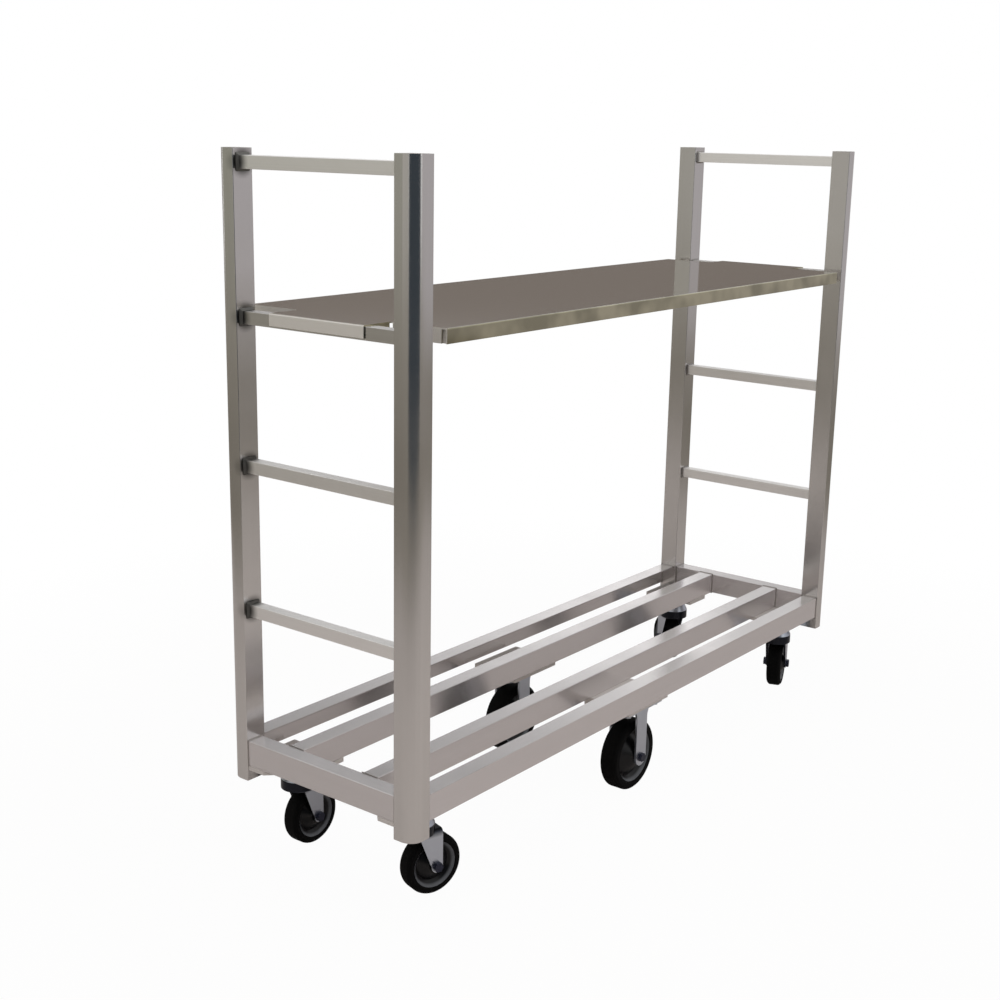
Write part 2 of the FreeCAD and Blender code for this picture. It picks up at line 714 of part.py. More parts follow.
def build_casters():
    """Four swivel casters at the corners and two rigid ones in the middle."""
    upright = FreeCAD.Rotation(FreeCAD.Vector(0, 0, 1), 0)
    pin = kingpin_pattern()
    pins = []
    trail = size("swivel_trail")
    for side, sign_y in SIDES:
        y = caster_y * sign_y
        for end, sign_x in ENDS:
            name = f"{end}_{side}"
            x = caster_x * sign_x
            turn = size(f"turn_{name}")
            place(swivel_plate(f"swivel_plate_{name}"), x, y, mount_underside)
            place(swivel_fork(f"swivel_fork_{name}"), x, y, mount_underside, upright, turn)
            wheel_x = x + trail.along(turn)
            wheel_y = y + trail.across(turn)
            wheel_z = mount_underside - SWIVEL.axle_drop
            for piece, build in (("axle", axle_bolt), ("wheel", wheel_core), ("tyre", tyre)):
                place(build(f"{piece}_{name}", SWIVEL), wheel_x, wheel_y, wheel_z, upright, turn)
            pins.append(moved(pin.Shape, at(x, y, mount_underside)))
        name = f"middle_{side}"
        y = (caster_y + size("middle_caster_shift")) * sign_y
        place(middle_fork(f"fork_{name}"), NONE, y, middle_underside)
        for piece, build in (("axle", axle_bolt), ("wheel", wheel_core), ("tyre", tyre)):
            place(build(f"{piece}_{name}", MIDDLE), NONE, y, middle_underside - MIDDLE.axle_drop)
    group("kingpins", pins)


def at(x, y, z):
    return FreeCAD.Placement(FreeCAD.Vector(x.value, y.value, z.value), FreeCAD.Rotation())


def hand_over():
    """Checks every object, then writes one file for each piece."""
    doc.recompute()
    for item in doc.Objects:
        if "Invalid" in item.State or "Error" in item.State:
            raise RuntimeError(f"{item.Label}: {item.State}")
    for piece in pieces:
        if piece.Shape.isNull() or not piece.Shape.isValid() or not piece.Shape.Solids:
            raise RuntimeError(f"{piece.Label}: no valid solid")
    os.makedirs("parts", exist_ok=True)
    for piece in pieces:
        piece.Shape.exportStep(f"parts/{piece.Label}.step")
    print(len(pieces), "pieces written")


build_posts()
build_bars()
build_deck()
build_mounts()
build_shelf()
build_casters()
hand_over()
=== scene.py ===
import json
import math

import bmesh
import bpy
from bpy.props import FloatProperty, FloatVectorProperty, PointerProperty
from mathutils import Matrix, Vector


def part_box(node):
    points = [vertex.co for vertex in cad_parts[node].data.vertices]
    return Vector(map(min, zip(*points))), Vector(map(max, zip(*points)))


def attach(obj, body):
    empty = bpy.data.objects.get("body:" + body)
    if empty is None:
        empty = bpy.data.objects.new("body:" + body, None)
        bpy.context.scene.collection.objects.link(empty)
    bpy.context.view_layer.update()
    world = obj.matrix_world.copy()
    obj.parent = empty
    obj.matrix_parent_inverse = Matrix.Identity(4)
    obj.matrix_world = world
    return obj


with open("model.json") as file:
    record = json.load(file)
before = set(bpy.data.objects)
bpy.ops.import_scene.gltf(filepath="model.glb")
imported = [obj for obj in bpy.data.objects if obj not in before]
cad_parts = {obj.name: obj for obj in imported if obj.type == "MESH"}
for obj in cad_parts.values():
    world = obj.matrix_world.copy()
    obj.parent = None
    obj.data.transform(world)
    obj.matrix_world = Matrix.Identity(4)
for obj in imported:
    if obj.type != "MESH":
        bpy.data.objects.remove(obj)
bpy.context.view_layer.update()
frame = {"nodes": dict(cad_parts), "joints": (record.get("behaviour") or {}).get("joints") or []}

bl_info = {
    "name": "U-boat Cart",
    "version": (1, 0, 0),
    "blender": (4, 5, 0),
    "location": "3D View > Sidebar > Cart",
    "description": "Finishes a long aluminium stock cart and sets it in a studio",
    "category": "Object",
}

ENDS = ("left", "right")
SIDES = ("front", "back")
CORNERS = [f"{end}_{side}" for end in ENDS for side in SIDES]
MIDDLES = [f"middle_{side}" for side in SIDES]
BAR_NAMES = ("lower_rung", "upper_rung", "shelf_bar", "top_bar")

MILLIMETRE = 0.001


def srgb(code):
    """A hex colour as the linear values that the shaders work with."""
    channels = [int(code[start:start + 2], 16) / 255 for start in (1, 3, 5)]
    return tuple(c / 12.92 if c <= 0.04045 else ((c + 0.055) / 1.055) ** 2.4 for c in channels)


def colour_property(name, description, code):
    """A colour that a user may change, given as a hex value."""
    return FloatVectorProperty(name=name, description=description, subtype="COLOR", size=3, min=0, max=1,
                               default=srgb(code))


def length_property(name, description, millimetres):
    """A length that a user may change, given in millimetres."""
    return FloatProperty(name=name, description=description, unit="LENGTH", subtype="DISTANCE", min=0,
                         default=millimetres * MILLIMETRE)


class CartFinish(bpy.types.PropertyGroup):
    """Colours of the cart's metals, plastics and rubber."""

    post: colour_property("Posts", "Mill-finish aluminium of the posts", "#D8D6D4")
    bar: colour_property("Bars", "Mill-finish aluminium of the bars", "#FAF8F6")
    deck: colour_property("Deck", "Mill-finish aluminium of the deck tubes", "#DEDADA")
    plate: colour_property("Mounting plates", "Rolled aluminium plate under the deck", "#D2CCC8")
    shelf: colour_property("Shelf", "Rolled sheet of the shelf", "#D0CBC2")
    # Painted shade: this darker colour goes on the shelf's turned-down long edges.
    lip: colour_property("Shelf's edges", "Turned-down long edges of the shelf", "#AAA58E")
    # Painted reflection: this pale colour on the hooks' end faces stands for a lit wall that they mirror.
    hook: colour_property("Shelf hooks", "Scuffed sheet at the shelf's ends", "#E6E2DC")
    # Dark colour round the left back bars' welds: partly weld soot, partly painted shade in the joints.
    soot_and_shade: colour_property("Soot", "Welding soot on the bars' ends", "#5C5B58")
    bar_bead: colour_property("Bar beads", "Dull weld metal at the bars' other ends", "#8C8885")
    bead: colour_property("Deck beads", "Bare weld metal at the deck's joints", "#A09A96")
    zinc: colour_property("Forks", "Bluish zinc plate of the caster forks", "#C4CAD4")
    # Painted shade: this dark colour goes on the forks' cut edges and on all of each fork above its tyre.
    edge: colour_property("Fork edges", "Bare cut edges of the forks' sheet", "#2C2E34")
    bolt: colour_property("Caster bolts", "Zinc plate of the bolts under the casters' plates", "#B4B8BF")
    axle: colour_property("Axles", "Dark oxide of the axle bolts", "#2A2C3C")
    core: colour_property("Wheel cores", "Moulded wheel centres", "#0C0C0E")
    # Painted highlight: this pale ring on the wheel centres' rims stands for the light that the rims catch.
    rim_highlight: colour_property("Wheel rims", "Rubbed lips of the wheel centres", "#5A5C60")
    tyre: colour_property("Tyres", "Black rubber", "#030303")


class CartWelds(bpy.types.PropertyGroup):
    """Sizes of the weld beads."""

    # The heavy beads on the left back post are coloured with the soot and painted shade.
    sooty_shaded_leg: length_property("Sooty bead", "Leg of the heavy beads on the left back post", 6.0)
    bar_leg: length_property("Bar bead", "Leg of the bead round the other ends of the bars", 4.0)
    tube_leg: length_property("Deck bead", "Leg of the bead round the end of a deck tube", 2.5)
    angle_wall: length_property("Angle", "Thickness of the side rails' flange and web", 3.0)
    # Reach of the soot and painted shade on the bars and posts.
    soot_and_shade: length_property("Soot reach", "How far the welding soot spreads from a bar's end", 34.0)


class CartBolts(bpy.types.PropertyGroup):
    """Sizes of the bolts that hold the casters' top plates."""

    swivel_long: length_property("Corner spacing", "Bolt centres of a corner caster along the cart", 74.0)
    middle_long: length_property("Middle spacing", "Bolt centres of a middle caster along the cart", 112.0)
    wide: length_property("Spacing across", "Bolt centres across the cart", 66.0)
    plate: length_property("Top plate", "Thickness of a caster's top plate", 6.0)
    head: length_property("Head", "Corner radius of the hexagon head", 9.8)
    head_height: length_property("Head height", "Height of the hexagon head", 6.4)
    washer: length_property("Washer", "Radius of the washer", 10.5)
    washer_height: length_property("Washer height", "Thickness of the washer", 2.0)


class CartStage(bpy.types.PropertyGroup):
    """Camera and studio."""

    eye_x: length_property("Eye X", "Camera before the left end, measured towards -X", 2789.0)
    eye_y: length_property("Eye Y", "Camera before the front, measured towards -Y", 1944.0)
    eye_z: length_property("Eye height", "Camera above the floor", 1520.1)
    heading: FloatProperty(name="Heading", description="Direction of view from +X towards +Y", subtype="ANGLE",
                           default=0.6604)
    dip: FloatProperty(name="Dip", description="Direction of view below the horizon", subtype="ANGLE", default=0.2456)
    roll: FloatProperty(name="Roll", description="Turn of the picture about its middle", subtype="ANGLE",
                        default=-0.0185)
    lens: FloatProperty(name="Lens", description="Focal length on a 36 mm wide sensor, in millimetres", default=53.797)
    floor: colour_property("Floor", "Pale floor round the cart", "#B8B1AD")
    floor_far: colour_property("Far floor", "Darker floor some steps away", "#908A80")
    floor_end: colour_property("Floor's end", "Floor before the walls", "#AAA499")
    flag: colour_property("Dark flag", "Dark side of the room behind the camera", "#3A4148")
    far_wall: colour_property("Far wall", "Low wall behind the cart, which the shelf mirrors", "#7E7670")
    left_wall: colour_property("Left wall", "Wall beyond the left end", "#9C9B90")
    left_light: colour_property("Lit left wall", "The same wall nearer the camera", "#B8B5AF")
    right_wall: colour_property("Right wall", "Wall beyond the right end", "#BCB8BA")
    ceiling_near: FloatProperty(name="Near ceiling", description="Glow of the ceiling before the cart", default=0.0,
                                min=0, max=2)
    ceiling_far: FloatProperty(name="Far ceiling", description="Glow of the ceiling's lights beyond the cart",
                               default=1.75, min=0, max=2)
    ceiling_plain: FloatProperty(name="Plain ceiling", description="Glow of the ceiling overhead and to the right",
                                 default=0.75, min=0, max=2)


def add(tree, kind, inputs=None, **settings):
    """Adds one node. Inputs name a socket and give it a value or another node's output."""
    node = tree.nodes.new(kind)
    for name, value in settings.items():
        setattr(node, name, value)
    for key, value in (inputs or {}).items():
        if isinstance(value, bpy.types.NodeSocket):
            tree.links.new(value, node.inputs[key])
        else:
            node.inputs[key].default_value = value
    return node


def empty_material(name):
    """A material with nothing but its output and the piece's own coordinates."""
    material = bpy.data.materials.new(name)
    material.use_nodes = True
    tree = material.node_tree
    tree.nodes.clear()
    output = add(tree, "ShaderNodeOutputMaterial")
    place = add(tree, "ShaderNodeTexCoord").outputs["Object"]
    return material, tree, output, place


def finish_principled(tree, output, **inputs):
    """The surface shader, with sockets named in plain words."""
    names = {"colour": "Base Color", "metallic": "Metallic", "roughness": "Roughness",
             "specular": "Specular IOR Level", "grain": "Anisotropic", "tangent": "Tangent"}
    shader = add(tree, "ShaderNodeBsdfPrincipled", {names[key]: value for key, value in inputs.items()})
    tree.links.new(shader.outputs[0], output.inputs["Surface"])


def soot_and_shade_mask(tree, place, centres, inner, outer):
    """1 at each weld and 0 beyond the reach of the soot and painted shade."""
    mask = None
    for centre in centres:
        distance = add(tree, "ShaderNodeVectorMath", {0: place, 1: centre}, operation="DISTANCE").outputs["Value"]
        spot = add(tree, "ShaderNodeMapRange", {"Value": distance, "From Min": inner, "From Max": outer,
                                                "To Min": 1.0, "To Max": 0.0},
                   interpolation_type="SMOOTHSTEP").outputs[0]
        mask = spot if mask is None else add(tree, "ShaderNodeMath", {0: mask, 1: spot},
                                             operation="MAXIMUM").outputs[0]
    return mask


def extruded_aluminium(name, colour, along, roughness, metallic=1.0, soot_and_shade_colour=None, soot_and_shade=None, grain=0.0):
    """Mill-finish aluminium extrusion: satin metal with die lines along its length, darkened near some welds by soot
    and by painted shade.
    """
    material, tree, output, place = empty_material(name)
    # Die lines are a fraction of a millimetre apart; 3 mm is as coarse as they need to show.
    line_spacing = 3 * MILLIMETRE
    line_length = 1500 * MILLIMETRE
    stretch = [1 / line_length if axis == along else 1 / line_spacing for axis in "XYZ"]
    lines = add(tree, "ShaderNodeMapping", {"Vector": place, "Scale": stretch}).outputs[0]
    streak = add(tree, "ShaderNodeTexNoise", {"Vector": lines, "Scale": 1.0, "Detail": 2.0}).outputs["Fac"]
    tone = add(tree, "ShaderNodeMapRange", {"Value": streak, "From Min": 0.3, "From Max": 0.7,
                                            "To Min": 0.96, "To Max": 1.0}).outputs[0]
    # Handling marks some 120 mm across change the gloss a little.
    change = 0.02
    cloud = add(tree, "ShaderNodeTexNoise", {"Vector": place, "Scale": 1 / (120 * MILLIMETRE)}).outputs["Fac"]
    rough = add(tree, "ShaderNodeMapRange", {"Value": cloud, "From Min": 0.3, "From Max": 0.7,
                                             "To Min": roughness - change, "To Max": roughness + change}).outputs[0]
    surface = add(tree, "ShaderNodeVectorMath", {0: tuple(colour), "Scale": tone}, operation="SCALE").outputs[0]
    # Near the left back welds the metal darkens, partly with soot and partly with painted shade.
    if soot_and_shade:
        mask = soot_and_shade_mask(tree, place, *soot_and_shade)
        stained_and_shaded = add(tree, "ShaderNodeMix", {"Factor": mask, "A": surface, "B": (*soot_and_shade_colour, 1.0)},
                      data_type="RGBA")
        surface = stained_and_shaded.outputs["Result"]
    # Light spreads across the die lines more than along them.
    normal = add(tree, "ShaderNodeNewGeometry").outputs["Normal"]
    lengthwise = [1.0 if axis == along else 0.0 for axis in "XYZ"]
    across = add(tree, "ShaderNodeVectorMath", {0: normal, 1: lengthwise}, operation="CROSS_PRODUCT").outputs[0]
    finish_principled(tree, output, colour=surface, metallic=metallic, roughness=rough, grain=grain, tangent=across)
    return material


def plain_material(name, colour, metallic, roughness, specular=0.5):
    """One even surface."""
    material, tree, output, _ = empty_material(name)
    finish_principled(tree, output, colour=(*colour, 1.0), metallic=metallic, roughness=roughness,
                      specular=specular)
    return material


def fork_material(name, colour, edge, axle, shoulder):
    """Zinc-plated sheet, bright on the legs' broad sides; the cut edges, and all above the shoulder, take a dark
    colour as painted shade.
    """
    material, tree, output, place = empty_material(name)
    normal = add(tree, "ShaderNodeTexCoord").outputs["Normal"]
    facing = add(tree, "ShaderNodeVectorMath", {0: normal, 1: axle}, operation="DOT_PRODUCT").outputs["Value"]
    broad = add(tree, "ShaderNodeMath", {0: facing}, operation="ABSOLUTE").outputs[0]
    broad_lit = add(tree, "ShaderNodeMapRange", {"Value": broad, "From Min": 0.6, "From Max": 0.9}).outputs[0]
    height = add(tree, "ShaderNodeSeparateXYZ", {0: place}).outputs["Z"]
    fade = 12 * MILLIMETRE
    leg = add(tree, "ShaderNodeMapRange", {"Value": height, "From Min": shoulder, "From Max": shoulder + fade,
                                           "To Min": 1.0, "To Max": 0.0}).outputs[0]
    bright = add(tree, "ShaderNodeMath", {0: broad_lit, 1: leg}, operation="MULTIPLY").outputs[0]
    # Painted shade: the edges and everything above the tyre's top take the dark edge colour.
    surface = add(tree, "ShaderNodeMix", {"Factor": bright, "A": (*edge, 1.0), "B": (*colour, 1.0)},
                  data_type="RGBA").outputs["Result"]
    finish_principled(tree, output, colour=surface, metallic=1.0, roughness=0.3)
    return material


def sheet_material(name, colour, lip, lit_hook_colour):
    """Rolled sheet, mirror-like on its broad faces; its long edges take a darker colour as painted shade, and the end
    faces of its hooks are painted pale as a reflection of a lit wall, rougher and less metallic."""
    material, tree, output, place = empty_material(name)
    normal = add(tree, "ShaderNodeTexCoord").outputs["Normal"]
    unsigned = add(tree, "ShaderNodeVectorMath", {0: normal}, operation="ABSOLUTE").outputs[0]
    facing = add(tree, "ShaderNodeSeparateXYZ", {0: unsigned}).outputs
    lip_shade = add(tree, "ShaderNodeMapRange", {"Value": facing["Y"], "From Min": 0.2, "From Max": 0.6}).outputs[0]
    # Patches some 70 mm long vary the painted shade on the long edges.
    cloud = add(tree, "ShaderNodeTexNoise", {"Vector": place, "Scale": 1 / (70 * MILLIMETRE)}).outputs["Fac"]
    patch = add(tree, "ShaderNodeMapRange", {"Value": cloud, "From Min": 0.35, "From Max": 0.65,
                                             "To Min": 0.82, "To Max": 1.28}).outputs[0]
    edge = add(tree, "ShaderNodeVectorMath", {0: tuple(lip), "Scale": patch}, operation="SCALE").outputs[0]
    # Painted shade: faces that look along Y, the long edges, take the darker lip colour.
    lip_shaded = add(tree, "ShaderNodeMix", {"Factor": lip_shade, "A": (*colour, 1.0), "B": edge},
                 data_type="RGBA").outputs["Result"]
    # Painted reflection: faces that look along X, the hooks' ends, take the pale hook colour; they are also rougher
    # and less metallic.
    hook_light = add(tree, "ShaderNodeMapRange", {"Value": facing["X"], "From Min": 0.6, "From Max": 0.9}).outputs[0]
    surface = add(tree, "ShaderNodeMix", {"Factor": hook_light, "A": lip_shaded, "B": (*lit_hook_colour, 1.0)},
                  data_type="RGBA").outputs["Result"]
    rough = add(tree, "ShaderNodeMapRange", {"Value": hook_light, "To Min": 0.07, "To Max": 0.45}).outputs[0]
    metallic = add(tree, "ShaderNodeMapRange", {"Value": hook_light, "To Min": 1.0, "To Max": 0.55}).outputs[0]
    finish_principled(tree, output, colour=surface, metallic=metallic, roughness=rough)
    return material


def core_material(name, colour, rim_highlight, place_of_hub, axle, radius):
    """Moulded wheel centre; the lip at its rim, a few millimetres wide, is painted pale as a highlight."""
    material, tree, output, place = empty_material(name)
    offset = add(tree, "ShaderNodeVectorMath", {0: place, 1: place_of_hub}, operation="SUBTRACT").outputs[0]
    turned = add(tree, "ShaderNodeVectorMath", {0: offset, 1: axle}, operation="CROSS_PRODUCT").outputs[0]
    away = add(tree, "ShaderNodeVectorMath", {0: turned}, operation="LENGTH").outputs["Value"]
    lip = 3.5 * MILLIMETRE
    # Painted highlight: the outer few millimetres of the centre take the pale rim colour.
    highlight_ring = add(tree, "ShaderNodeMapRange", {"Value": away, "From Min": radius - 2 * lip, "From Max": radius - lip})
    surface = add(tree, "ShaderNodeMix", {"Factor": highlight_ring.outputs[0], "A": (*colour, 1.0), "B": (*rim_highlight, 1.0)},
                  data_type="RGBA").outputs["Result"]
    finish_principled(tree, output, colour=surface, metallic=0.0, roughness=0.28, specular=0.3)
    return material


def set_material(nodes, material):
    """Gives each of these CAD pieces the one material."""
    for node in nodes:
        mesh = frame["nodes"][node].data
        mesh.materials.clear()
        mesh.materials.append(material)


def sooty_shaded_weld_centres():
    """Middle of each left bar's back end, one for each level."""
    centres = []
    for name in BAR_NAMES:
        low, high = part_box(f"{name}_left")
        centres.append(((low.x + high.x) / 2, high.y, (low.z + high.z) / 2))
    return centres


def axle_direction(place):
    """Axis on which a caster's wheel rolls, at rest."""
    return next(joint["axis"] for joint in frame["joints"] if joint["name"] == f"roll_{place}")


def round_shoulders(item, width):
    """Moulded rubber has no sharp edges: joins the mesh's loose triangles and rounds its ridges."""
    join = item.modifiers.new("join", "WELD")
    join.merge_threshold = 0.01 * MILLIMETRE
    rounding = item.modifiers.new("rounding", "BEVEL")
    rounding.width = width
    rounding.segments = 3
    rounding.limit_method = "ANGLE"
    rounding.angle_limit = math.radians(25)


class CART_OT_finish_tubes(bpy.types.Operator):
    """Mill-finish aluminium on the posts, bars, deck tubes and mounting plates"""

    bl_idname = "cart.finish_tubes"
    bl_label = "Finish Tubes"

    def execute(self, context):
        finish = context.scene.cart_finish
        reach = context.scene.cart_welds.soot_and_shade
        full_soot_and_shade = 0.35
        # The stain round the left back welds is partly soot, partly painted shade.
        stain_and_shade = {"soot_and_shade_colour": finish.soot_and_shade, "soot_and_shade": (sooty_shaded_weld_centres(), reach * full_soot_and_shade, reach)}
        post = extruded_aluminium("Mill-finish aluminium post", finish.post, "Z", roughness=0.2, **stain_and_shade)
        bar = extruded_aluminium("Mill-finish aluminium bar", finish.bar, "Y", roughness=0.32, metallic=0.85, **stain_and_shade)
        shelf_bar = extruded_aluminium("Mill-finish aluminium shelf bar", finish.post, "Y", roughness=0.25, **stain_and_shade)
        satin = {"roughness": 0.22, "metallic": 0.87, "grain": 0.8}
        long_tube = extruded_aluminium("Mill-finish aluminium deck tube", finish.deck, "X", **satin)
        end_tube = extruded_aluminium("Mill-finish aluminium end rail", finish.deck, "Y", **satin)
        set_material([f"post_{corner}" for corner in CORNERS] + ["post_caps"], post)
        set_material([f"{name}_{end}" for name in BAR_NAMES if name != "shelf_bar" for end in ENDS], bar)
        set_material([f"shelf_bar_{end}" for end in ENDS], shelf_bar)
        set_material([f"{name}_{side}" for name in ("side_rail", "deck_tube") for side in SIDES], long_tube)
        set_material([f"end_rail_{end}" for end in ENDS], end_tube)
        # Rolled plate, oxidised to a dull grey that mirrors little.
        plate = plain_material("Rolled aluminium plate", finish.plate, metallic=0.4, roughness=0.5)
        set_material([f"caster_mount_{place}" for place in CORNERS + MIDDLES], plate)
        return {"FINISHED"}


class CART_OT_finish_shelf(bpy.types.Operator):
    """Rolled sheet on the shelf"""

    bl_idname = "cart.finish_shelf"
    bl_label = "Finish Shelf"

    def execute(self, context):
        finish = context.scene.cart_finish
        sheet = sheet_material("Rolled aluminium sheet", finish.shelf, finish.lip, finish.hook)
        set_material(["shelf"], sheet)
        return {"FINISHED"}


class CART_OT_finish_casters(bpy.types.Operator):
    """Zinc, rubber and moulded wheel centres on the casters"""

    bl_idname = "cart.finish_casters"
    bl_label = "Finish Casters"

    def execute(self, context):
        finish = context.scene.cart_finish
        # Blue zinc plate: bright, with a soft mirror.
        zinc = plain_material("Blue zinc-plated steel", finish.zinc, metallic=1.0, roughness=0.3)
        set_material([f"swivel_plate_{corner}" for corner in CORNERS], zinc)
        set_material([f"fork_{middle}" for middle in MIDDLES] + ["kingpins"], zinc)
        for corner in CORNERS:
            axle = axle_direction(corner)
            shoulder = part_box(f"tyre_{corner}")[1].z
            fork = fork_material(f"Zinc-plated fork {corner}", finish.zinc, finish.edge, axle, shoulder)
            set_material([f"swivel_fork_{corner}"], fork)
        # Black oxide: dark, with a dull sheen. Rubber: black and almost without shine.
        bolt = plain_material("Oxide-black steel bolt", finish.axle, metallic=0.6, roughness=0.4)
        tyre = plain_material("Black rubber", finish.tyre, metallic=0.0, roughness=0.75, specular=0.12)
        shoulder_rounding = 2.5 * MILLIMETRE
        for place in CORNERS + MIDDLES:
            set_material([f"axle_{place}"], bolt)
            low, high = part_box(f"wheel_{place}")
            core = core_material(f"Moulded wheel centre {place}", finish.core, finish.rim_highlight, (low + high) / 2,
                                 axle_direction(place), (high.z - low.z) / 2)
            set_material([f"wheel_{place}"], core)
            set_material([f"tyre_{place}"], tyre)
            round_shoulders(frame["nodes"][f"tyre_{place}"], shoulder_rounding)
        return {"FINISHED"}


def weld_collar(mesh, section, axis, at, inward, leg):
    """A fillet weld round a bar's end: a frustum, wide on the post and narrow on the bar, with rounded edges."""
    low, high = section
    toe = 0.1 * MILLIMETRE
    rounding = leg * 0.42
    across = [index for index in range(3) if index != axis]
    half = [(high[index] - low[index]) / 2 for index in across]
    middle = [(high[index] + low[index]) / 2 for index in range(3)]
    middle[axis] = at
    made = bmesh.ops.create_cube(mesh, size=2.0)["verts"]
    for vert in made:
        wide = vert.co[axis] * inward < 0
        spread = leg if wide else toe
        for index, extent in zip(across, half):
            vert.co[index] *= extent + spread
        vert.co[axis] = 0.0 if wide else inward * leg
        vert.co += Vector(middle)
    edges = {edge for vert in made for edge in vert.link_edges}
    bmesh.ops.bevel(mesh, geom=list(edges), offset=rounding, affect="EDGES", segments=3, profile=0.5, material=-1)


def finished_piece(name, mesh, body, material, rounded):
    """Turns a bmesh into a piece that rides on a body."""
    bmesh.ops.recalc_face_normals(mesh, faces=mesh.faces)
    data = bpy.data.meshes.new(name)
    mesh.to_mesh(data)
    mesh.free()
    data.materials.append(material)
    if rounded:
        data.shade_smooth()
    piece = bpy.data.objects.new(name, data)
    bpy.context.scene.collection.objects.link(piece)
    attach(piece, body)


class CART_OT_weld_bars(bpy.types.Operator):
    """Weld beads round the ends of the bars"""

    bl_idname = "cart.weld_bars"
    bl_label = "Weld Bars"

    def execute(self, context):
        sizes, finish = context.scene.cart_welds, context.scene.cart_finish
        # The left back beads are dark and dull, partly with soot and partly with painted shade; the other beads are
        # plain metal, greyer than the bars.
        sooty_and_shaded = plain_material("Sooty and shaded aluminium weld", finish.soot_and_shade, metallic=0.7, roughness=0.5)
        bare = plain_material("Bare aluminium bar weld", finish.bar_bead, metallic=0.8, roughness=0.4)
        for corner in CORNERS:
            end, side = corner.split("_")
            stained_and_shaded = corner == "left_back"
            leg = sizes.sooty_shaded_leg if stained_and_shaded else sizes.bar_leg
            mesh = bmesh.new()
            for name in BAR_NAMES:
                low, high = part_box(f"{name}_{end}")
                at, inward = (low.y, 1) if side == "front" else (high.y, -1)
                weld_collar(mesh, (low, high), 1, at, inward, leg)
            finished_piece(f"bar_welds_{corner}", mesh, "frame", sooty_and_shaded if stained_and_shaded else bare, True)
        return {"FINISHED"}


def angle_legs(low, high, wall, front):
    """Boxes of a side rail's flange, at its top, and of its web, at the outside."""
    outside = (low.y, low.y + wall) if front else (high.y - wall, high.y)
    flange = (Vector((low.x, low.y, high.z - wall)), high)
    web = (Vector((low.x, outside[0], low.z)), Vector((high.x, outside[1], high.z)))
    return flange, web


class CART_OT_weld_deck(bpy.types.Operator):
    """Weld beads round the ends of the deck's rails and tubes"""

    bl_idname = "cart.weld_deck"
    bl_label = "Weld Deck"

    def execute(self, context):
        sizes = context.scene.cart_welds
        leg = sizes.tube_leg
        mesh = bmesh.new()
        for side in SIDES:
            low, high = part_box(f"side_rail_{side}")
            sections = [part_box(f"deck_tube_{side}"), *angle_legs(low, high, sizes.angle_wall, side == "front")]
            for section in sections:
                weld_collar(mesh, section, 0, section[0].x, 1, leg)
                weld_collar(mesh, section, 0, section[1].x, -1, leg)
        for end in ENDS:
            low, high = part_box(f"end_rail_{end}")
            weld_collar(mesh, (low, high), 1, low.y, 1, leg)
            weld_collar(mesh, (low, high), 1, high.y, -1, leg)
        # Bare weld metal: satin, a little greyer than the tubes.
        bare = plain_material("Bare aluminium weld", context.scene.cart_finish.bead, metallic=0.8, roughness=0.4)
        finished_piece("deck_welds", mesh, "frame", bare, True)
        return {"FINISHED"}


def disc(mesh, segments, radius, height, middle):
    """An upright round or six-sided disc with softened edges, its top at the given point."""
    softening = height * 0.12
    place = Matrix.Translation(middle - Vector((0, 0, height / 2)))
    made = bmesh.ops.create_cone(mesh, cap_ends=True, segments=segments, radius1=radius, radius2=radius, depth=height,
                                 matrix=place)["verts"]
    edges = {edge for vert in made for edge in vert.link_edges}
    bmesh.ops.bevel(mesh, geom=list(edges), offset=softening, affect="EDGES", segments=2, profile=0.5, material=-1)


class CART_OT_bolt_casters(bpy.types.Operator):
    """Hexagon bolts and washers below the casters' top plates"""

    bl_idname = "cart.bolt_casters"
    bl_label = "Bolt Casters"

    def execute(self, context):
        sizes = context.scene.cart_bolts
        plates = [(f"swivel_plate_{corner}", sizes.swivel_long) for corner in CORNERS]
        plates += [(f"fork_{middle}", sizes.middle_long) for middle in MIDDLES]
        round_sides, hexagon_sides = 24, 6
        mesh = bmesh.new()
        for node, long in plates:
            low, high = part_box(node)
            for along in (-0.5, 0.5):
                for across in (-0.5, 0.5):
                    seat = Vector(((low.x + high.x) / 2 + along * long, (low.y + high.y) / 2 + across * sizes.wide,
                                   high.z - sizes.plate))
                    disc(mesh, round_sides, sizes.washer, sizes.washer_height, seat)
                    below = seat - Vector((0, 0, sizes.washer_height))
                    disc(mesh, hexagon_sides, sizes.head, sizes.head_height, below)
        # Zinc plate on bolts: bright metal with a soft mirror.
        zinc = plain_material("Zinc-plated bolt steel", context.scene.cart_finish.bolt, metallic=1.0, roughness=0.35)
        finished_piece("caster_bolts", mesh, "frame", zinc, False)
        return {"FINISHED"}


def stage_plane(name, corners, material, camera=True, light=True):
    """A flat four-cornered stage card."""
    mesh = bmesh.new()
    mesh.faces.new([mesh.verts.new(corner) for corner in corners])
    data = bpy.data.meshes.new(name)
    mesh.to_mesh(data)
    mesh.free()
    data.materials.append(material)
    card = bpy.data.objects.new(name, data)
    card.visible_camera = camera
    card.visible_diffuse = light
    card.visible_shadow = light
    bpy.context.scene.collection.objects.link(card)


def card_material(name, colour, other=None, along=(1.0, 0.0, 0.0), start=0.0, end=1.0):
    """A card that only glows, and may pass into another colour along a direction, between two places in metres."""
    material, tree, output, place = empty_material(name)
    shown = (*colour, 1.0)
    if other:
        away = add(tree, "ShaderNodeVectorMath", {0: place, 1: along}, operation="DOT_PRODUCT").outputs["Value"]
        share = add(tree, "ShaderNodeMapRange", {"Value": away, "From Min": start, "From Max": end}).outputs[0]
        shown = add(tree, "ShaderNodeMix", {"Factor": share, "A": shown, "B": (*other, 1.0)},
                    data_type="RGBA").outputs["Result"]
    glow = add(tree, "ShaderNodeEmission", {"Color": shown, "Strength": 1.0})
    tree.links.new(glow.outputs[0], output.inputs["Surface"])
    return material


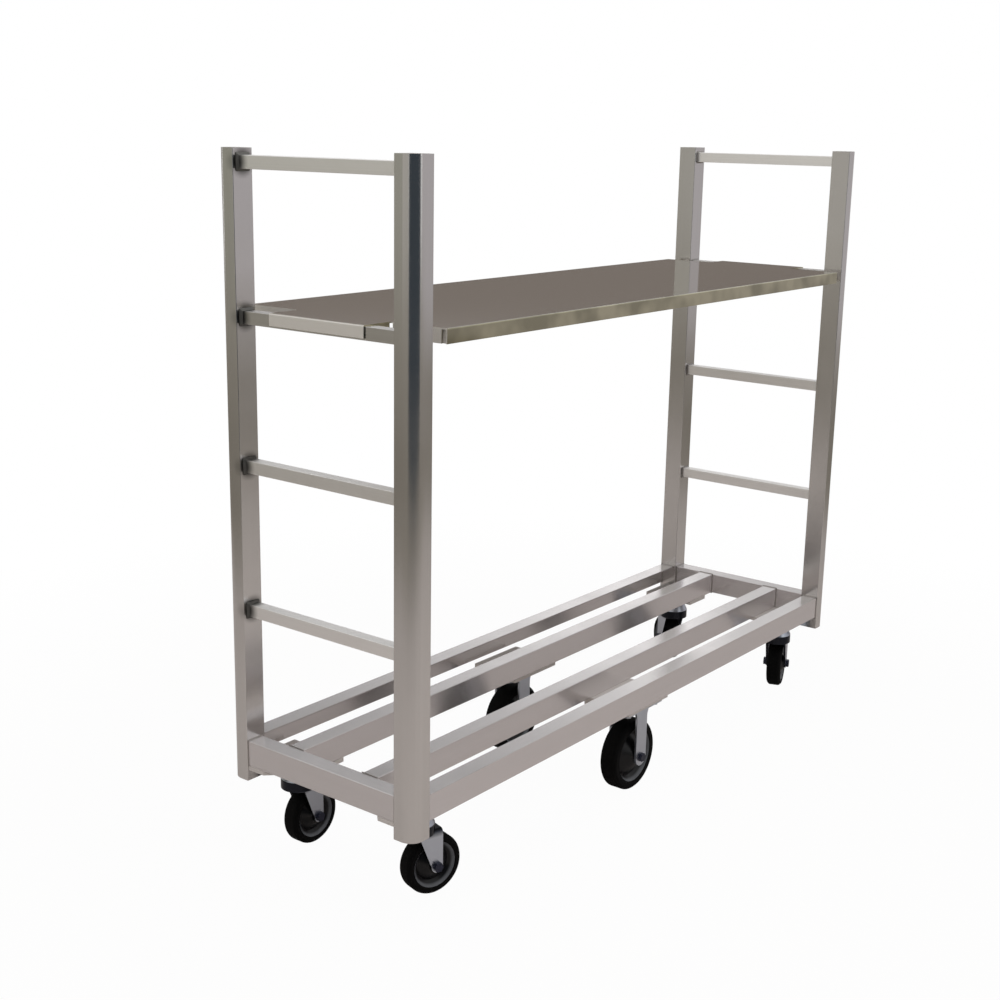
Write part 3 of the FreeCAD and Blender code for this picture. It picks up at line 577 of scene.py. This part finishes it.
def floor_material(colour, far_colour, end_colour):
    """Pale painted floor; the camera sees it almost white, with a trace of the cart's shadow."""
    material, tree, output, place = empty_material("Pale painted floor")
    away = add(tree, "ShaderNodeVectorMath", {0: place}, operation="LENGTH").outputs["Value"]
    # Distances from the cart's middle in metres, between which one tone passes into the next.
    dim, dark_from, end_from, end_at = 2.6, 3.3, 5.0, 8.0
    dark = add(tree, "ShaderNodeMapRange", {"Value": away, "From Min": dim, "From Max": dark_from}).outputs[0]
    shade = add(tree, "ShaderNodeMix", {"Factor": dark, "A": (*colour, 1.0), "B": (*far_colour, 1.0)},
                data_type="RGBA").outputs["Result"]
    beyond = add(tree, "ShaderNodeMapRange", {"Value": away, "From Min": end_from, "From Max": end_at}).outputs[0]
    shade = add(tree, "ShaderNodeMix", {"Factor": beyond, "A": shade, "B": (*end_colour, 1.0)},
                data_type="RGBA").outputs["Result"]
    paint = add(tree, "ShaderNodeBsdfDiffuse", {"Color": shade})
    white = add(tree, "ShaderNodeEmission", {"Color": (1.0, 1.0, 1.0, 1.0), "Strength": 1.0})
    shadow_near, shadow_far, least_white = 1.2, 2.4, 0.97
    share = add(tree, "ShaderNodeMapRange", {"Value": away, "From Min": shadow_near, "From Max": shadow_far,
                                             "To Min": least_white, "To Max": 1.0}).outputs[0]
    seen = add(tree, "ShaderNodeLightPath").outputs["Is Camera Ray"]
    factor = add(tree, "ShaderNodeMath", {0: share, 1: seen}, operation="MULTIPLY").outputs[0]
    mixed = add(tree, "ShaderNodeMixShader", {0: factor, 1: paint.outputs[0], 2: white.outputs[0]})
    tree.links.new(mixed.outputs[0], output.inputs["Surface"])
    return material


def white_world(level):
    """Soft light of one level all round; the camera, metal and glass see it white."""
    world = bpy.data.worlds.new("Soft white studio")
    world.use_nodes = True
    tree = world.node_tree
    tree.nodes.clear()
    output = add(tree, "ShaderNodeOutputWorld")
    path = add(tree, "ShaderNodeLightPath").outputs
    seen = add(tree, "ShaderNodeMath", {0: path["Is Camera Ray"], 1: path["Is Glossy Ray"]}, operation="MAXIMUM")
    shown = add(tree, "ShaderNodeMath", {0: seen.outputs[0], 1: path["Is Transmission Ray"]}, operation="MAXIMUM")
    strength = add(tree, "ShaderNodeMapRange", {"Value": shown.outputs[0], "To Min": level, "To Max": 1.0})
    back = add(tree, "ShaderNodeBackground", {"Color": (1.0, 1.0, 1.0, 1.0), "Strength": strength.outputs[0]})
    tree.links.new(back.outputs[0], output.inputs["Surface"])
    bpy.context.scene.world = world


def soft_lamp(name, place, aim, width, power):
    """A square lamp, placed in metres and turned to what it lights."""
    lamp = bpy.data.lights.new(name, "AREA")
    lamp.shape = "SQUARE"
    lamp.size = width
    lamp.energy = power
    item = bpy.data.objects.new(name, lamp)
    item.location = place
    item.rotation_euler = (Vector(aim) - Vector(place)).to_track_quat("-Z", "Y").to_euler()
    bpy.context.scene.collection.objects.link(item)


class CART_OT_stage(bpy.types.Operator):
    """Camera, floor, lamps and white surroundings"""

    bl_idname = "cart.stage"
    bl_label = "Set the Stage"

    def execute(self, context):
        stage = context.scene.cart_stage
        self.camera(stage)
        reach = 15.0
        ground = [(-reach, -reach, 0), (reach, -reach, 0), (reach, reach, 0), (-reach, reach, 0)]
        stage_plane("floor", ground, floor_material(stage.floor, stage.floor_far, stage.floor_end))
        self.surroundings(stage)
        white_world(level=0.7)
        soft_lamp("overhead", place=(-0.6, -0.8, 3.4), aim=(0, 0, 0.6), width=2.4, power=60)
        context.scene.view_settings.view_transform = "Standard"
        return {"FINISHED"}

    def surroundings(self, stage):
        """Cards that only the cart's metal mirrors."""
        ahead = stage.heading
        side = Vector((-math.sin(ahead), math.cos(ahead), 0))
        out = Vector((math.cos(ahead), math.sin(ahead), 0))
        leftward = ahead + math.radians(104)
        along_wall = (-math.sin(leftward), math.cos(leftward), 0)
        left = card_material("Left wall", stage.left_wall, stage.left_light, along_wall, start=0.28, end=0.6)
        # Name, direction from the cart, distance, half width and top, in metres and radians, and material.
        walls = (
            ("Dark room", math.radians(225), 4.1, 2.9, 4.0, card_material("Dark room", stage.flag)),
            ("Low far wall", ahead, 14.0, 16.0, 3.4, card_material("Low far wall", stage.far_wall)),
            ("Left wall", leftward, 12.0, 12.0, 7.2, left),
            ("Right wall", ahead - math.radians(76), 7.8, 8.5, 4.7, card_material("Right wall", stage.right_wall)),
        )
        for name, direction, distance, half, top, material in walls:
            outward = Vector((math.cos(direction), math.sin(direction), 0))
            across = Vector((-outward.y, outward.x, 0)) * half
            middle = outward * distance
            rise = Vector((0, 0, top))
            corners = [middle - across, middle + across, middle + across + rise, middle - across + rise]
            stage_plane(name, corners, material, camera=False, light=False)
        # The ceiling brightens away from the camera, up to the edge of its lights 1.6 m to the right of the cart.
        near, far = (stage.ceiling_near,) * 3, (stage.ceiling_far,) * 3
        slant = 0.5
        bright = card_material("Soft ceiling", near, far, out - side * slant, start=4.7, end=9.5)
        plain = card_material("Plain ceiling", (stage.ceiling_plain,) * 3)
        height = Vector((0, 0, 3.0))
        # Name, nearest and farthest, rightmost and leftmost reach in metres, and material.
        panels = (
            ("Overhead ceiling", -3.0, 4.2, -7.0, 7.0, plain),
            ("Right ceiling", 4.2, 10.0, -7.0, -1.6, plain),
            ("Far ceiling", 4.2, 10.0, -1.6, 7.0, bright),
        )
        for name, nearest, farthest, rightmost, leftmost, material in panels:
            spots = ((nearest, rightmost), (farthest, rightmost), (farthest, leftmost), (nearest, leftmost))
            corners = [out * forward + side * aside + height for forward, aside in spots]
            stage_plane(name, corners, material, camera=False, light=False)

    def camera(self, stage):
        """Stands where the photograph was taken from."""
        data = bpy.data.cameras.new("photo_camera")
        data.sensor_width = 36.0
        data.lens = stage.lens
        ahead = Vector((math.cos(stage.heading) * math.cos(stage.dip), math.sin(stage.heading) * math.cos(stage.dip),
                        -math.sin(stage.dip)))
        right = ahead.cross(Vector((0, 0, 1))).normalized()
        down = ahead.cross(right)
        turned_right = right * math.cos(stage.roll) + down * math.sin(stage.roll)
        turned_down = down * math.cos(stage.roll) - right * math.sin(stage.roll)
        camera = bpy.data.objects.new("photo_camera", data)
        camera.matrix_world = Matrix((turned_right, -turned_down, -ahead)).transposed().to_4x4()
        camera.location = (-stage.eye_x, -stage.eye_y, stage.eye_z)
        bpy.context.scene.collection.objects.link(camera)
        bpy.context.scene.camera = camera


OPERATORS = (
    CART_OT_finish_tubes,
    CART_OT_finish_shelf,
    CART_OT_finish_casters,
    CART_OT_weld_bars,
    CART_OT_weld_deck,
    CART_OT_bolt_casters,
    CART_OT_stage,
)


class CART_PT_panel(bpy.types.Panel):
    """Steps that dress the cart"""

    bl_idname = "CART_PT_panel"
    bl_label = "U-boat Cart"
    bl_space_type = "VIEW_3D"
    bl_region_type = "UI"
    bl_category = "Cart"

    def draw(self, context):
        for operator in OPERATORS:
            self.layout.operator(operator.bl_idname)
        for name in GROUPS:
            group = getattr(context.scene, name)
            column = self.layout.column()
            for field in group.__annotations__:
                column.prop(group, field)


GROUPS = {"cart_finish": CartFinish, "cart_welds": CartWelds, "cart_bolts": CartBolts, "cart_stage": CartStage}
CLASSES = (*GROUPS.values(), *OPERATORS, CART_PT_panel)


def register():
    for item in CLASSES:
        bpy.utils.register_class(item)
    for name, group in GROUPS.items():
        setattr(bpy.types.Scene, name, PointerProperty(type=group))


def unregister():
    for name in GROUPS:
        delattr(bpy.types.Scene, name)
    for item in reversed(CLASSES):
        bpy.utils.unregister_class(item)


def main():
    register()
    bpy.ops.cart.finish_tubes()
    bpy.ops.cart.finish_shelf()
    bpy.ops.cart.finish_casters()
    bpy.ops.cart.weld_bars()
    bpy.ops.cart.weld_deck()
    bpy.ops.cart.bolt_casters()
    bpy.ops.cart.stage()


if __name__ == "__main__":
    main()
